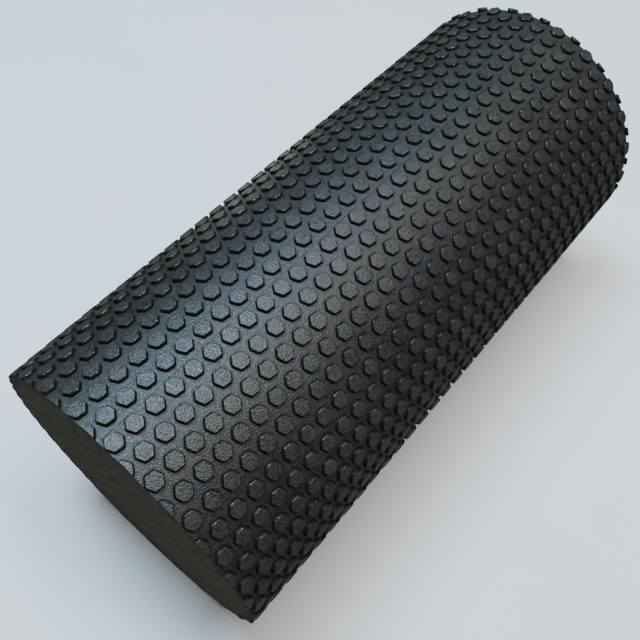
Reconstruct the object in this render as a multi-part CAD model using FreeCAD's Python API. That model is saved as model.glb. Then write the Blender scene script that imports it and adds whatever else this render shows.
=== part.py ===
# Solid EVA foam massage roller with an embossed skin of hexagon studs, lying on a flat floor.
# Units are millimetres. The roller's axis runs along X and +Z is up. The origin is the centre of
# the footprint, on the floor that the lowest studs rest on.
# Four glued pieces: a core built up from three foam boards, and one studded sheet wrapped round it.
import FreeCAD, Part
import math
import os

os.makedirs("parts", exist_ok=True)
Vector = FreeCAD.Vector

# ---- whole roller ------------------------------------------------------------------------------
LENGTH = 300.0              # between the two sawn end faces
STUD_TOP_RADIUS = 70.9      # axis to the flat top of a stud: 142 mm across opposite studs
STUD_HEIGHT = 1.5           # how far a stud stands above the sheet
SHEET_THICKNESS = 4.0       # the embossed sheet between its studs
SEAM_GAP = 0.3              # the long edges of the sheet meet in a butt seam, not quite closed
SEAM_ANGLE = 5.95           # degrees from the top of the roller, towards -Y

# ---- stud pattern ------------------------------------------------------------------------------
ROWS = 47                   # rows of studs round the roller, each running end to end
STUD_PITCH = 9.455          # from one stud to the next along a row
PITCHES_PER_TURN = 24       # each row starts a little over half a pitch on, and 47 rows add up to 24
FIRST_STUD = -1.14          # near end face to the first stud of row 0, most of which is cut away
MIDDLE_SLACK = 1.83         # studs halfway along sit this much nearer the -X end than even spacing
STUD_ACROSS_CORNERS = 7.3
STUD_TURN = 7.5             # degrees that a stud's corners are turned from the roller's length
STUD_ROOT = 2.0             # how far a stud's solid reaches down into the sheet that it's one with
FIRST_ROW_ANGLE = 1.5       # degrees from the top of the roller, towards -Y, at the -X end
ROW_DRIFT = 0.84            # degrees that a row wanders round the roller between the two ends
PLATE_JOINT = 117.3         # distance from the -X end to the joint between two embossing plates
PLATE_STEP = 0.32           # degrees that the rows jump back at that joint

# ---- core --------------------------------------------------------------------------------------
BOARD_THICKNESS = 44.0      # the middle board; the outer two are the segments left above and below

SHEET_RADIUS = STUD_TOP_RADIUS - STUD_HEIGHT
CORE_RADIUS = SHEET_RADIUS - SHEET_THICKNESS
NEAR_END = -LENGTH / 2
ALONG = Vector(1, 0, 0)
CUT_MARGIN = 5.0            # how far a cutting shape runs past what it cuts


def round_bar(radius):
    """A cylinder of the roller's length on the X axis."""
    return Part.makeCylinder(radius, LENGTH, Vector(NEAR_END, 0, 0), ALONG)


def outward(degrees):
    """Unit vector from the axis towards a point that many degrees from the top, towards -Y."""
    angle = math.radians(degrees)
    return Vector(0, -math.sin(angle), math.cos(angle))


def slackened(distance):
    """Where a stud ends up on the wrapped sheet, from its place on an even grid."""
    along = distance / LENGTH
    return distance - MIDDLE_SLACK * 4 * along * (1 - along)


def row_angle(row, distance):
    """Angle of a row of studs at a distance from the -X end."""
    angle = FIRST_ROW_ANGLE + row * 360.0 / ROWS + ROW_DRIFT * distance / LENGTH
    if distance > PLATE_JOINT:
        angle -= PLATE_STEP
    return angle


def stud(distance, degrees):
    """A hexagon prism standing on the sheet, rooted inside it."""
    radial = outward(degrees)
    across = ALONG.cross(radial)
    centre = radial * (SHEET_RADIUS - STUD_ROOT) + ALONG * (NEAR_END + distance)
    corner = STUD_ACROSS_CORNERS / 2
    points = []
    for step in range(7):
        turn = math.radians(60 * step + STUD_TURN)
        points.append(centre + ALONG * (corner * math.cos(turn)) + across * (corner * math.sin(turn)))
    face = Part.Face(Part.makePolygon(points))
    return face.extrude(radial * (STUD_ROOT + STUD_HEIGHT))


def stud_field():
    """Every stud of the sheet. The end faces cut through the studs that they meet."""
    between_ends = round_bar(STUD_TOP_RADIUS + CUT_MARGIN)
    corner = STUD_ACROSS_CORNERS / 2
    row_shift = STUD_PITCH * PITCHES_PER_TURN / ROWS
    studs = []
    for row in range(ROWS):
        even = (FIRST_STUD + row * row_shift) % STUD_PITCH - STUD_PITCH
        while even < LENGTH + corner:
            distance = slackened(even)
            if distance > -corner:
                piece = stud(distance, row_angle(row, distance))
                if distance < corner or distance > LENGTH - corner:
                    piece = piece.common(between_ends)
                studs.append(piece)
            even += STUD_PITCH
    return studs


def seam_slot():
    """The thin gap between the two long edges of the wrapped sheet, deeper than the sheet is thick."""
    corner = Vector(NEAR_END - CUT_MARGIN, -SEAM_GAP / 2, CORE_RADIUS - CUT_MARGIN)
    depth = SHEET_THICKNESS + STUD_HEIGHT + 2 * CUT_MARGIN
    slot = Part.makeBox(LENGTH + 2 * CUT_MARGIN, SEAM_GAP, depth, corner)
    slot.rotate(Vector(0, 0, 0), ALONG, SEAM_ANGLE)
    return slot


def textured_skin():
    """The whole embossed sheet, wrapped into a tube."""
    tube = round_bar(SHEET_RADIUS).cut(round_bar(CORE_RADIUS))
    return tube.multiFuse(stud_field()).cut(seam_slot()).Solids[0]


def core_board(bottom, top):
    """The slice of the round core between two heights, measured from the axis."""
    width = 2 * (CORE_RADIUS + CUT_MARGIN)
    slab = Part.makeBox(LENGTH, width, top - bottom, Vector(NEAR_END, -width / 2, bottom))
    return round_bar(CORE_RADIUS).common(slab).Solids[0]


skin = textured_skin()
half = BOARD_THICKNESS / 2
pieces = {
    "textured_skin": skin,
    "core_board_lower": core_board(-CORE_RADIUS - CUT_MARGIN, -half),
    "core_board_middle": core_board(-half, half),
    "core_board_upper": core_board(half, CORE_RADIUS + CUT_MARGIN),
}

# The lowest corner of a stud rests on the floor.
axis_height = -min(vertex.Z for vertex in skin.Vertexes)
for node, shape in pieces.items():
    shape.translate(Vector(0, 0, axis_height))
    shape.exportStep("parts/" + node + ".step")
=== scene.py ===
# The looks of the foam roller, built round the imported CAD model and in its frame: the roller lies
# along X on the floor, +Z up. Sizes are in millimetres until they go into a mesh, which is in metres.
import bmesh
import bpy
import math
import numpy as np
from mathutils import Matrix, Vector, noise


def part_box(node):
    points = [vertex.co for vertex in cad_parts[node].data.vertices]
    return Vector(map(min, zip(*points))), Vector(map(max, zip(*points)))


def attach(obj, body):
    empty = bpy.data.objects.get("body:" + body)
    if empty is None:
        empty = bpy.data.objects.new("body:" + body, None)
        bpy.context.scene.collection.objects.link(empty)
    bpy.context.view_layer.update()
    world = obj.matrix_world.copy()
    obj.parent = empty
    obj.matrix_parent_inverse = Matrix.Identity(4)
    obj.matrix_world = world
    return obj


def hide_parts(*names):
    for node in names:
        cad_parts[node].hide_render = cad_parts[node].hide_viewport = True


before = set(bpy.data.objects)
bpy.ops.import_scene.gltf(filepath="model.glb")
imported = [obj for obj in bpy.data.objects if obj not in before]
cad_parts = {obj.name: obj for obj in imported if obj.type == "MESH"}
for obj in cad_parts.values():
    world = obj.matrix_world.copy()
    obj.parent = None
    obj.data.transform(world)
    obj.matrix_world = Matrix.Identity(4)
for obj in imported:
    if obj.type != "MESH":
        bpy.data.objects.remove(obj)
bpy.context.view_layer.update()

MM = 0.001
random = np.random.default_rng(41)

# ---- the roller, from the frame --------------------------------------------------------------------
skin_low, skin_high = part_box("textured_skin")
middle_low, middle_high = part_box("core_board_middle")
upper_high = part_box("core_board_upper")[1]
LENGTH = (skin_high.x - skin_low.x) / MM
NEAR_END = skin_low.x / MM
AXIS_HEIGHT = (skin_low.z + skin_high.z) / 2 / MM
CORE_RADIUS = upper_high.z / MM - AXIS_HEIGHT
BOARD_HALF = (middle_high.z - middle_low.z) / 2 / MM

# ---- the embossed sheet, as in the CAD model -------------------------------------------------------
STUD_TOP_RADIUS = 70.9
STUD_HEIGHT = 1.5
SHEET_THICKNESS = STUD_TOP_RADIUS - STUD_HEIGHT - CORE_RADIUS
ROWS = 47
ROW_ANGLE = 360 / ROWS
STUD_PITCH = 9.455
ROW_SHIFT = STUD_PITCH * 24 / ROWS      # how far along each row starts, compared with the last
FIRST_STUD = -1.14          # from the near end to the first stud of row 0
MIDDLE_SLACK = 1.83         # studs halfway along sit this much nearer the near end than even spacing
STUD_TURN = 7.5             # degrees that a stud's corners are turned from the roller's length
FIRST_ROW_ANGLE = 1.5       # degrees from the top of the roller, towards -Y
ROW_DRIFT = 0.84            # degrees that a row wanders round the roller between the two ends
PLATE_JOINT = 117.3         # from the near end to the joint between two embossing plates
PLATE_STEP = 0.32           # degrees that the rows jump back at that joint
PLATE_BLEND = 3             # how much of the length they take to do so
SEAM_ANGLE = 5.95           # degrees from the top of the roller, towards -Y
SEAM_GAP = 0.13             # the foam's edges touch here and there, so less shows than the CAD's 0.3

MM_PER_DEGREE = math.radians(1) * STUD_TOP_RADIUS       # measured round the roller, at the stud tops
ROW_SPACING = ROW_ANGLE * MM_PER_DEGREE

# ---- what moulding, sawing and use add to it -------------------------------------------------------
# The rings of points that shape a stud, from the lip of the groove pressed round its foot to the
# inside of its rounded edge. For each: how far its corners are from the middle, how much of a corner
# is cut back, its height above the sheet, and how much painted shade darkens it, from 0 to 1: this
# shade is painted in the groove round the stud's foot.
STUD_RINGS = [
    (4.20, 0.47, 0.05, 0.5),
    (3.84, 0.38, -0.24, 1.0),
    (3.74, 0.34, STUD_HEIGHT - 0.25, 0.0),
    (3.46, 0.31, STUD_HEIGHT, 0.0),
]
STUD_MIDDLE = STUD_HEIGHT + 0.06        # the tops are very slightly crowned
RING_POINTS = 12

# How one stud differs from the next, as standard deviations.
TOP_LEAN = 0.006            # slope of the top
SIZE_SPREAD = 0.007         # as a share of the stud
TURN_SPREAD = 0.8           # degrees
RAISED_SPREAD = 0.03
SHIFT_SPREAD = 0.06

# A scuffed patch, where the studs are pushed aside.
SCUFF_ALONG = 96.0          # from the near end
SCUFF_ROW = 4.3             # in rows from row 0
SCUFF_REACH = 7.0
SCUFF_PUSH = np.array([0.7, 1.1])       # along and round the roller, at the patch's middle

SHEET_TONE = 0.3            # the sheet round a stud takes on this much of the stud's own shade
SHEET_RIPPLE = 0.05         # how uneven the studded face is
SAWN_BACK = 0.10            # how far the sheet's sawn ends lie inside the roller's true length
SAWN_RAGGED = 0.14          # and how much that varies
SEAM_DIP = 0.05             # how far the sheet's edges sink at the seam
SEAM_UNEVEN = 0.06          # and how much that varies

BOARD_GAP = 0.05            # half of the glue line between two boards
SKIN_GAP = 0.06             # the glue line between the core and the skin
FACE_DEPTH = 0.14           # how far the core's sawn faces lie inside the roller's true length
SAW_CHATTER = 0.05          # the fine marks across those faces
SAW_WAVES = 0.05            # the slow waves in them
RIM_DEPTH = 0.12            # how much further in their edges lie
FACE_ROW = 1.2              # height of a row of small faces on a sawn end
FACE_COLUMNS = 90
NEARLY_ALL = 0.9995         # stops a board just short of the top or bottom of the round core

# How finely those uneven surfaces vary: from one bump to the next is about 1 / this many millimetres.
RIPPLE_FINENESS = 0.35
RAGGED_FINENESS = (0.8, 0.5)            # round the roller, and through the sheet
SEAM_FINENESS = 0.2
CHATTER_FINENESS = (1.0, 0.12)          # across the saw marks, and along them
WAVE_FINENESS = 0.045


# ---- the sheet, laid flat --------------------------------------------------------------------------

def hexagon_point(corner, radius):
    angle = math.radians(60 * corner + STUD_TURN)
    return np.array([radius * math.cos(angle), radius * math.sin(angle)])


def stud_ring(radius, rounding):
    """Twelve points round a hexagon, each corner cut back to two."""
    points = []
    for corner in range(6):
        here = hexagon_point(corner, radius)
        for neighbour in (corner - 1, corner + 1):
            side = hexagon_point(neighbour, radius) - here
            points.append(here + side / np.linalg.norm(side) * rounding)
    return np.array(points)


def cell_border():
    """Twelve points round the patch of sheet that belongs to one stud: its sides' middles and ends."""
    half = STUD_PITCH / 2
    skew = (ROW_SHIFT ** 2 - ROW_SHIFT * STUD_PITCH) / (2 * ROW_SPACING)
    shoulder = ROW_SPACING / 2 + skew
    tip = ROW_SPACING / 2 - skew
    lean = ROW_SHIFT - half
    ends = np.array([
        (half, shoulder), (lean, tip), (-half, shoulder),
        (-half, -shoulder), (-lean, -tip), (half, -shoulder),
    ])
    middles = (ends + np.roll(ends, 1, axis=0)) / 2
    return np.stack([middles, ends], axis=1).reshape(-1, 2)


def on_real_sheet(even, around):
    """Where a point of the evenly spaced pattern ends up on the real sheet."""
    along = even / LENGTH
    distance = even - MIDDLE_SLACK * 4 * along * (1 - along)
    past_joint = np.clip((distance - PLATE_JOINT) / PLATE_BLEND + 0.5, 0, 1)
    return distance, around + (ROW_DRIFT * along - PLATE_STEP * past_joint) * MM_PER_DEGREE


def scuffed(distance, around):
    """How far a stud is pushed aside, along and round the roller."""
    scuff_around = (FIRST_ROW_ANGLE + SCUFF_ROW * ROW_ANGLE) * MM_PER_DEGREE
    squared = (distance - SCUFF_ALONG) ** 2 + (around - scuff_around) ** 2
    return SCUFF_PUSH * math.exp(-squared / (2 * SCUFF_REACH ** 2))


class FlatSheet:
    """The sheet before it's wrapped: points (along, around, up), faces, and marks for the material.

    A point's marks are its height as a share of a stud's, the shade of its own stud, and how much
    painted shade darkens it in the groove round the stud's foot.
    """

    def __init__(self):
        self.border = cell_border()
        self.rings = []
        for radius, rounding, height, foot_shade in STUD_RINGS:
            self.rings.append((stud_ring(radius, rounding), height, foot_shade))
        self.points = []
        self.faces = []
        self.marks = {"lift": [], "tone": [], "foot_shade": []}

    def add(self, along, around, up, lift=0.0, tone=0.0, foot_shade=0.0):
        self.points.append((along, around, up))
        self.marks["lift"].append(lift)
        self.marks["tone"].append(tone)
        self.marks["foot_shade"].append(foot_shade)

    def add_stud(self, distance, middle):
        """One stud with the patch of sheet round it and the patch of back under it."""
        first = len(self.points)
        shade = random.normal(0, 1)
        lean = random.normal(0, TOP_LEAN, 2)
        size = 1 + random.normal(0, SIZE_SPREAD)
        turn = math.radians(random.normal(0, TURN_SPREAD))
        raised = random.normal(0, RAISED_SPREAD)
        shift = random.normal(0, SHIFT_SPREAD, 2)
        spin = np.array([[math.cos(turn), math.sin(turn)], [-math.sin(turn), math.cos(turn)]]) * size
        centre = np.array(on_real_sheet(distance, middle)) + shift + scuffed(distance, middle)

        for along, around in self.border:
            place = on_real_sheet(distance + along, middle + around)
            self.add(*place, SHEET_THICKNESS, tone=shade * SHEET_TONE)
        for ring, height, foot_shade in self.rings:
            for offset in ring @ spin:
                own = 0.0 if foot_shade else raised + lean @ offset
                up = SHEET_THICKNESS + (height + own)
                self.add(*(centre + offset), up, lift=height / STUD_HEIGHT, tone=shade, foot_shade=foot_shade)
        self.add(*centre, SHEET_THICKNESS + STUD_MIDDLE + raised, lift=1.0, tone=shade)

        last = first + RING_POINTS * len(self.rings)
        middle_point = last + RING_POINTS
        for ring in range(first, last, RING_POINTS):
            for i in range(RING_POINTS):
                j = (i + 1) % RING_POINTS
                self.faces.append((ring + i, ring + j, ring + RING_POINTS + j, ring + RING_POINTS + i))
        for i in range(RING_POINTS):
            self.faces.append((last + i, last + (i + 1) % RING_POINTS, middle_point))

        back = len(self.points)
        for along, around in self.border:
            self.add(*on_real_sheet(distance + along, middle + around), 0.0)
        self.faces.append(tuple(range(back + RING_POINTS - 1, back - 1, -1)))


def flat_sheet():
    """All the studs, running a little past the ends and the seam, where the sheet is trimmed later."""
    sheet = FlatSheet()
    for row in range(ROWS + 2):
        start = (FIRST_STUD + row * ROW_SHIFT + STUD_PITCH / 2) % STUD_PITCH - STUD_PITCH / 2
        middle = (FIRST_ROW_ANGLE + row * 360 / ROWS) * MM_PER_DEGREE
        for distance in np.arange(start, LENGTH + STUD_PITCH / 2, STUD_PITCH):
            sheet.add_stud(distance, middle)
    return sheet


def welded(points, faces):
    """Merges the points that neighbouring patches share. Returns the kept points' indices and faces."""
    keys = np.round(points, 3)
    _, kept, renumber = np.unique(keys, axis=0, return_index=True, return_inverse=True)
    renumber = renumber.reshape(-1)
    return kept, [tuple(int(renumber[i]) for i in face) for face in faces]


# ---- the skin --------------------------------------------------------------------------------------

CUT_TOLERANCE = 0.002
CLOSE = 0.01                # a point this near to a cut lies on it
UPPER_SIDE = 1.0            # a point higher than this is on the sheet's studded face, not its back


def trim(bm, at, outward):
    """Cuts everything beyond a plane away."""
    geometry = bm.verts[:] + bm.edges[:] + bm.faces[:]
    bmesh.ops.bisect_plane(
        bm, geom=geometry, dist=CUT_TOLERANCE, plane_co=at, plane_no=outward, clear_outer=True)


def side_wall(bm, across, level, along):
    """Faces for the cut wall between the sheet's face and back on one of its four sides."""
    rim = [v for v in bm.verts if v.is_boundary and abs(v.co[across] - level) < CLOSE]
    back = sorted((v for v in rim if v.co.z < UPPER_SIDE), key=lambda v: v.co[along])
    face = sorted((v for v in rim if v.co.z >= UPPER_SIDE), key=lambda v: v.co[along])
    face_at = np.array([v.co[along] for v in face])
    nearest = [int(np.argmin(abs(face_at - v.co[along]))) for v in back]
    nearest[0], nearest[-1] = 0, len(face) - 1
    wall = []
    for i in range(len(back) - 1):
        wall.append((back[i], *face[nearest[i]:nearest[i + 1] + 1], back[i + 1]))
    return wall


def wrapped(along, around, up):
    """A point of the flat sheet once it's round the core, in metres."""
    angle = around / STUD_TOP_RADIUS
    radius = CORE_RADIUS + up
    x = NEAR_END + along
    return Vector((x, -radius * math.sin(angle), AXIS_HEIGHT + radius * math.cos(angle))) * MM


def face_outward(bm):
    """Turns every face of a closed mesh to look out of it."""
    bmesh.ops.recalc_face_normals(bm, faces=bm.faces[:])
    if bm.calc_volume(signed=True) < 0:
        bmesh.ops.reverse_faces(bm, faces=bm.faces[:])


def to_object(bm, name, materials, sharp_degrees):
    """Makes an object of a mesh, smooth except where its faces meet at more than that angle."""
    mesh = bpy.data.meshes.new(name)
    bm.to_mesh(mesh)
    bm.free()
    mesh.polygons.foreach_set("use_smooth", [True] * len(mesh.polygons))
    mesh.set_sharp_from_angle(angle=math.radians(sharp_degrees))
    for material in materials:
        mesh.materials.append(material)
    piece = bpy.data.objects.new(name, mesh)
    bpy.context.scene.collection.objects.link(piece)
    return piece


def rippled_sheet():
    """The flat sheet as a mesh, welded into one, its studded face a little uneven."""
    sheet = flat_sheet()
    points = np.array(sheet.points)
    kept, faces = welded(points, sheet.faces)
    points = points[kept]
    for i, (x, y, up) in enumerate(points):
        if up > UPPER_SIDE:
            points[i, 2] += SHEET_RIPPLE * noise.noise(Vector((x, y, 0)) * RIPPLE_FINENESS)
    mesh = bpy.data.meshes.new("flat")
    mesh.from_pydata(points.tolist(), [], faces)
    for name, values in sheet.marks.items():
        values = np.array(values, dtype=np.float32)[kept]
        mesh.attributes.new(name, "FLOAT", "POINT").data.foreach_set("value", values)
    bm = bmesh.new()
    bm.from_mesh(mesh)
    bpy.data.meshes.remove(mesh)
    return bm


def textured_skin(materials):
    """The sheet cut to size, closed and wrapped. The second material is for its cut walls."""
    bm = rippled_sheet()
    seam_start = SEAM_ANGLE * MM_PER_DEGREE + SEAM_GAP / 2
    seam_end = (SEAM_ANGLE + 360) * MM_PER_DEGREE - SEAM_GAP / 2
    trim(bm, (0, 0, 0), (-1, 0, 0))
    trim(bm, (LENGTH, 0, 0), (1, 0, 0))
    trim(bm, (0, seam_start, 0), (0, -1, 0))
    trim(bm, (0, seam_end, 0), (0, 1, 0))
    walls = []
    for across, level, along in ((0, 0.0, 1), (0, LENGTH, 1), (1, seam_start, 0), (1, seam_end, 0)):
        walls += side_wall(bm, across, level, along)
    for wall in walls:
        bm.faces.new(wall).material_index = 1

    for v in bm.verts:
        x, y, up = v.co
        if min(x, LENGTH - x) < CLOSE:
            place = Vector((y * RAGGED_FINENESS[0], up * RAGGED_FINENESS[1], x))
            inward = SAWN_BACK + SAWN_RAGGED * noise.noise(place)
            x += inward if x < LENGTH / 2 else -inward
        if up > UPPER_SIDE and min(y - seam_start, seam_end - y) < CLOSE:
            up -= SEAM_DIP + SEAM_UNEVEN * noise.noise(Vector((x * SEAM_FINENESS, 3.0, y)))
        v.co = wrapped(x, y, up)
    face_outward(bm)
    return to_object(bm, "skin", materials, 35)


# ---- the core --------------------------------------------------------------------------------------

def saw_relief(y, z, end):
    """How far a point of a sawn end face lies inside the roller's true length. The ends differ."""
    across = (0.9 * y + 0.5 * z) * CHATTER_FINENESS[0]
    along = (0.9 * z - 0.5 * y) * CHATTER_FINENESS[1]
    chatter = noise.noise(Vector((across, along, 7.0 * end)))
    waves = noise.noise(Vector((y * WAVE_FINENESS, z * WAVE_FINENESS, 3.0 * end)))
    return FACE_DEPTH + SAW_CHATTER * chatter + SAW_WAVES * waves


def sawn_face(bm, bottom, top, radius, end):
    """A grid of faces over one end of a board. Returns the points round its rim, in order."""
    rows = round((top - bottom) / FACE_ROW)
    grid = []
    for row in range(rows + 1):
        z = bottom + (top - bottom) * row / rows
        half = math.sqrt(radius ** 2 - z ** 2)
        line = []
        for column in range(FACE_COLUMNS + 1):
            y = half * math.cos(math.pi * (1 - column / FACE_COLUMNS))
            on_rim = row in (0, rows) or column in (0, FACE_COLUMNS)
            x = end * (LENGTH / 2 - saw_relief(y, z, end) - RIM_DEPTH * on_rim)
            line.append(bm.verts.new(Vector((x, y, AXIS_HEIGHT + z)) * MM))
        grid.append(line)
    for lower, upper in zip(grid, grid[1:]):
        for column in range(FACE_COLUMNS):
            bm.faces.new((lower[column], lower[column + 1], upper[column + 1], upper[column]))
    right_side = [line[-1] for line in grid[1:]]
    left_side = [line[0] for line in grid[-2:0:-1]]
    return grid[0] + right_side + grid[-1][-2::-1] + left_side


def core_board(name, bottom, top, materials):
    """A board of the core between two heights above the axis: sawn end faces and plain sides."""
    radius = CORE_RADIUS - SKIN_GAP
    bottom = max(bottom, -radius * NEARLY_ALL)
    top = min(top, radius * NEARLY_ALL)
    bm = bmesh.new()
    near = sawn_face(bm, bottom, top, radius, -1)
    far = sawn_face(bm, bottom, top, radius, 1)
    for i in range(len(near)):
        j = (i + 1) % len(near)
        bm.faces.new((near[i], near[j], far[j], far[i]))
    face_outward(bm)
    return to_object(bm, name, materials, 40)


# ---- materials -------------------------------------------------------------------------------------

class Nodes:
    """A few short ways to add nodes to a material and join them up."""

    # Sockets of a Mix node when it mixes colours.
    FACTOR = 0
    COLOUR_A = 6
    COLOUR_B = 7
    MIXED_COLOUR = 2

    # The middle part of a noise texture's range, where nearly all of its values lie.
    NOISE_RANGE = (0.3, 0.7)

    def __init__(self, name):
        self.material = bpy.data.materials.new(name)
        self.material.use_nodes = True
        self.tree = self.material.node_tree
        self.shader = self.tree.nodes["Principled BSDF"]
        self.place = self.tree.nodes.new("ShaderNodeTexCoord").outputs["Object"]

    def feed(self, socket, value):
        """Links an output to a socket, or sets the socket to a constant."""
        if hasattr(value, "is_output"):
            self.tree.links.new(value, socket)
        else:
            socket.default_value = value

    def add(self, kind, **values):
        """A new node. The values go to its inputs and its options of those names."""
        node = self.tree.nodes.new(kind)
        for key, value in values.items():
            if key in node.inputs:
                self.feed(node.inputs[key], value)
            else:
                setattr(node, key, value)
        return node

    def noise(self, size, detail=2.0, roughness=0.5, place=None):
        """Grey noise whose lumps are about that many millimetres across."""
        node = self.add(
            "ShaderNodeTexNoise", Scale=1 / (size * MM), Detail=detail, Roughness=roughness,
            Vector=place or self.place)
        return node.outputs["Fac"]

    def stretched(self, scale, turn):
        """The object's coordinates, scaled along each axis, then turned about X by some degrees."""
        turned = (math.radians(turn), 0, 0)
        node = self.add("ShaderNodeMapping", Vector=self.place, Scale=scale, Rotation=turned)
        return node.outputs["Vector"]

    def attribute(self, name):
        return self.add("ShaderNodeAttribute", attribute_name=name).outputs["Fac"]

    def ramp(self, value, low, high, start, end):
        """A value mapped from low..high to start..end."""
        node = self.add("ShaderNodeMapRange", Value=value)
        node.inputs["From Min"].default_value = low
        node.inputs["From Max"].default_value = high
        node.inputs["To Min"].default_value = start
        node.inputs["To Max"].default_value = end
        return node.outputs["Result"]

    def swing(self, value, low, high, reach):
        """A value mapped from low..high to -reach..reach."""
        return self.ramp(value, low, high, -reach, reach)

    def combine(self, operation, *values):
        node = self.add("ShaderNodeMath", operation=operation)
        for socket, value in zip(node.inputs, values):
            self.feed(socket, value)
        return node.outputs[0]

    def total(self, first, *others):
        for value in others:
            first = self.combine("ADD", first, value)
        return first

    def blend(self, factor, a, b):
        """One colour into another by a factor. A colour is an output, or a constant (red, green, blue)."""
        node = self.add("ShaderNodeMix", data_type="RGBA")
        self.feed(node.inputs[self.FACTOR], factor)
        for socket, colour in ((self.COLOUR_A, a), (self.COLOUR_B, b)):
            self.feed(node.inputs[socket], colour if hasattr(colour, "is_output") else (*colour, 1))
        return node.outputs[self.MIXED_COLOUR]

    def bump(self, height, depth, strength, under=None):
        """A normal for bumps that many millimetres deep, on top of another normal if one is given."""
        node = self.add("ShaderNodeBump", Height=height, Strength=strength, Distance=depth * MM)
        if under is not None:
            self.feed(node.inputs["Normal"], under)
        return node.outputs["Normal"]

    def finish(self, colour, rough, normal, specular=0.5):
        self.feed(self.shader.inputs["Base Color"], colour)
        self.feed(self.shader.inputs["Roughness"], rough)
        self.feed(self.shader.inputs["Normal"], normal)
        self.shader.inputs["Specular IOR Level"].default_value = specular
        return self.material


# The colour of painted shade, on the studs' walls and in the groove round their feet.
PAINTED_SHADE_BLACK = (0.004, 0.004, 0.004)
PORE_SIZE = 0.62
GRAIN_SIZE = 0.5


def skin_material():
    """Moulded EVA: near black, finely grained, with a sheen that is sharper on the studs' edges, and
    painted shade on the studs' walls, their rounded top edges and the groove round their feet.
    """
    n = Nodes("embossed_foam")
    lift = n.attribute("lift")
    tone = n.attribute("tone")
    foot_shade = n.attribute("foot_shade")
    broad = n.noise(45)
    patches = n.noise(5)
    grain = n.noise(GRAIN_SIZE, detail=1)
    pores = n.add("ShaderNodeTexVoronoi", feature="F1", Scale=1 / (PORE_SIZE * MM), Vector=n.place)
    speckle = n.add("ShaderNodeSeparateColor", Color=pores.outputs["Color"]).outputs["Red"]

    # Which part of a stud a point is on. The groove round the foot counts as wall: its lift is
    # below zero.
    on_top = n.ramp(lift, 0.80, 0.86, 0, 1)
    flat_top = n.ramp(lift, 0.96, 1.0, 0, 1)
    off_sheet = n.ramp(n.combine("ABSOLUTE", lift), 0.0, 0.06, 0, 1)
    on_wall = n.combine("SUBTRACT", off_sheet, on_top)
    on_edge = n.combine("SUBTRACT", on_top, flat_top)
    # Painted shade: darkest in the groove at each stud's foot, fading out on the sheet round it. The same
    # mask also makes that part rougher.
    painted_crease_shade = n.ramp(foot_shade, 0.35, 1.0, 0, 0.75)

    shade = n.total(
        n.swing(broad, *n.NOISE_RANGE, 0.2), n.swing(patches, *n.NOISE_RANGE, 0.15),
        n.swing(tone, -2, 2, 0.2), n.swing(speckle, 0, 1, 0.45))
    shade = n.ramp(shade, -0.8, 0.8, 0, 1)
    sheet = n.blend(shade, (0.003, 0.003, 0.0027), (0.036, 0.0355, 0.032))
    # Painted shade in the groove round each stud's foot.
    sheet = n.blend(painted_crease_shade, sheet, PAINTED_SHADE_BLACK)
    studs = n.blend(shade, (0.004, 0.004, 0.0036), (0.042, 0.0415, 0.037))
    # Painted shade: the rounded edges of the stud tops are made near black, a dark outline round each top.
    studs = n.blend(on_edge, studs, (0.003, 0.003, 0.003))
    # Painted shade: the studs' walls are made near black.
    colour = n.blend(on_wall, n.blend(on_top, sheet, studs), PAINTED_SHADE_BLACK)

    rough = n.total(
        n.ramp(flat_top, 0, 1, 0.40, 0.38), n.swing(speckle, 0, 1, 0.12),
        n.ramp(on_wall, 0, 1, 0.0, 0.20), n.ramp(painted_crease_shade, 0, 1, 0.0, 0.20))
    rough = n.combine("SUBTRACT", rough, n.ramp(on_edge, 0, 1, 0.0, 0.13))

    dimpled = n.bump(patches, 0.02, 0.5)
    leathery = n.bump(pores.outputs["Distance"], 0.15, 0.9, dimpled)
    normal = n.bump(grain, 0.10, 1.0, leathery)
    # A slightly warm sheen keeps the edges' glints neutral under the cool key light.
    n.feed(n.shader.inputs["Specular Tint"], n.blend(on_edge, (1.0, 1.0, 1.0), (1.0, 0.89, 0.80)))
    return n.finish(colour, rough, normal)


def cut_material(name, dark, light):
    """Sawn EVA: matt, brownish black, torn cells and fine saw marks across the face."""
    n = Nodes(name)
    broad = n.noise(28, detail=3, roughness=0.6)
    cells = n.noise(0.9, detail=4, roughness=0.7)
    saw_marks = n.noise(1.3, detail=3, roughness=0.6, place=n.stretched((0.0, 0.25, 1.0), 28))
    tears = n.noise(2.4, detail=3, roughness=0.6)
    shade = n.total(
        n.swing(broad, *n.NOISE_RANGE, 0.1), n.swing(cells, *n.NOISE_RANGE, 0.4),
        n.swing(saw_marks, 0.38, 0.62, 0.5), n.swing(tears, 0.35, 0.65, 0.2))
    colour = n.blend(n.ramp(shade, -0.7, 0.7, 0, 1), dark, light)
    rough = n.ramp(cells, *n.NOISE_RANGE, 0.78, 0.95)
    torn = n.bump(tears, 0.15, 0.8, n.bump(saw_marks, 0.40, 0.9))
    normal = n.bump(cells, 0.25, 0.9, torn)
    return n.finish(colour, rough, normal, specular=0.3)


def floor_material():
    """Pale matt studio floor."""
    n = Nodes("studio_floor")
    patches = n.noise(120, detail=3)
    colour = n.blend(n.ramp(patches, *n.NOISE_RANGE, 0, 1), (0.87, 0.87, 0.86), (0.91, 0.91, 0.90))
    rough = n.ramp(patches, *n.NOISE_RANGE, 0.62, 0.72)
    return n.finish(colour, rough, n.bump(patches, 0.05, 0.2))


# ---- pieces ----------------------------------------------------------------------------------------

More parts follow.
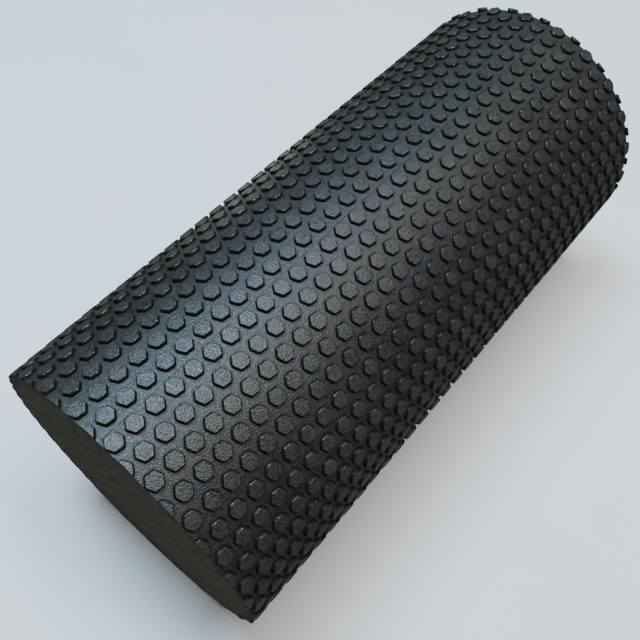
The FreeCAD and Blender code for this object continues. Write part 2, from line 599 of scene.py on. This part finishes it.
sawn_core = cut_material("sawn_core", (0.010, 0.009, 0.0040), (0.074, 0.067, 0.036))
sawn_sheet = cut_material("sawn_sheet", (0.009, 0.008, 0.0035), (0.054, 0.049, 0.027))
skin = textured_skin([skin_material(), sawn_sheet])
pieces = [(skin, "textured_skin", "skin_foam")]
for name, node, bottom, top in (
    ("core_lower", "core_board_lower", -CORE_RADIUS, -BOARD_HALF - BOARD_GAP),
    ("core_middle", "core_board_middle", -BOARD_HALF + BOARD_GAP, BOARD_HALF - BOARD_GAP),
    ("core_upper", "core_board_upper", BOARD_HALF + BOARD_GAP, CORE_RADIUS),
):
    pieces.append((core_board(name, bottom, top, [sawn_core]), node, "core_foam"))
for piece, node, slot in pieces:
    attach(piece, "root")
    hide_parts(node)

# ---- floor, light and camera -----------------------------------------------------------------------
# From here on, places and sizes are in metres unless they're multiplied by MM.

bm = bmesh.new()
bmesh.ops.create_grid(bm, x_segments=24, y_segments=24, size=4.0)
floor = to_object(bm, "floor", [floor_material()], 30)
floor.visible_glossy = False


def soft_light(name, place, aim, size, watts, colour):
    """A rectangular lamp at one place, aimed at another."""
    light = bpy.data.lights.new(name, "AREA")
    light.shape = "RECTANGLE"
    light.size, light.size_y = size
    light.energy = watts
    light.color = colour
    lamp = bpy.data.objects.new(name, light)
    lamp.location = place
    lamp.rotation_euler = (Vector(aim) - Vector(place)).to_track_quat("-Z", "Y").to_euler()
    bpy.context.scene.collection.objects.link(lamp)
    return lamp


# Two strips overhead draw the band of sheen along the top, cool beside neutral.
soft_light("key", (-0.02, 0.42, 1.3), (0.0, 0.30, 0.07), (0.32, 0.65), 27, (0.48, 0.74, 1.0))
soft_light("fill", (0.25, -0.35, 1.3), (0.25, -0.35, 0.07), (0.32, 0.90), 15, (0.94, 0.94, 0.92))
# A low one lights the near cut face.
soft_light("side", (-1.0, -1.0, 0.5), (0.0, 0.0, 0.07), (0.8, 0.5), 3, (1.0, 0.95, 0.84))
# A faint one close behind the roller picks out the studs along the outline at the camera's upper left.
rim = soft_light("rim", (0.10, 0.24, 0.04), (0.0, 0.05, 0.11), (0.10, 0.05), 0.003, (1.0, 1.0, 1.0))
rim.data.spread = math.radians(60)
rim.visible_camera = False

world = bpy.data.worlds.new("studio")
world.use_nodes = True
world.node_tree.nodes["Background"].inputs["Color"].default_value = (1.0, 0.94, 0.82, 1)
world.node_tree.nodes["Background"].inputs["Strength"].default_value = 0.18
bpy.context.scene.world = world

# Just beyond the near end, high on the -Y side, level, looking down and along the roller.
BEYOND_END = 29.8
TO_THE_SIDE = -128.9
ABOVE_AXIS = 293.9
TILT = 33.81                # degrees up from straight down
HEADING = -50.0             # degrees from +Y, towards -X if positive
camera = bpy.data.objects.new("camera", bpy.data.cameras.new("camera"))
camera.data.sensor_width = 36
camera.data.lens = 40.96
camera.data.clip_start = 0.01
camera.location = Vector((NEAR_END - BEYOND_END, TO_THE_SIDE, AXIS_HEIGHT + ABOVE_AXIS)) * MM
camera.rotation_euler = (math.radians(TILT), 0, math.radians(HEADING))
bpy.context.scene.collection.objects.link(camera)
bpy.context.scene.camera = camera
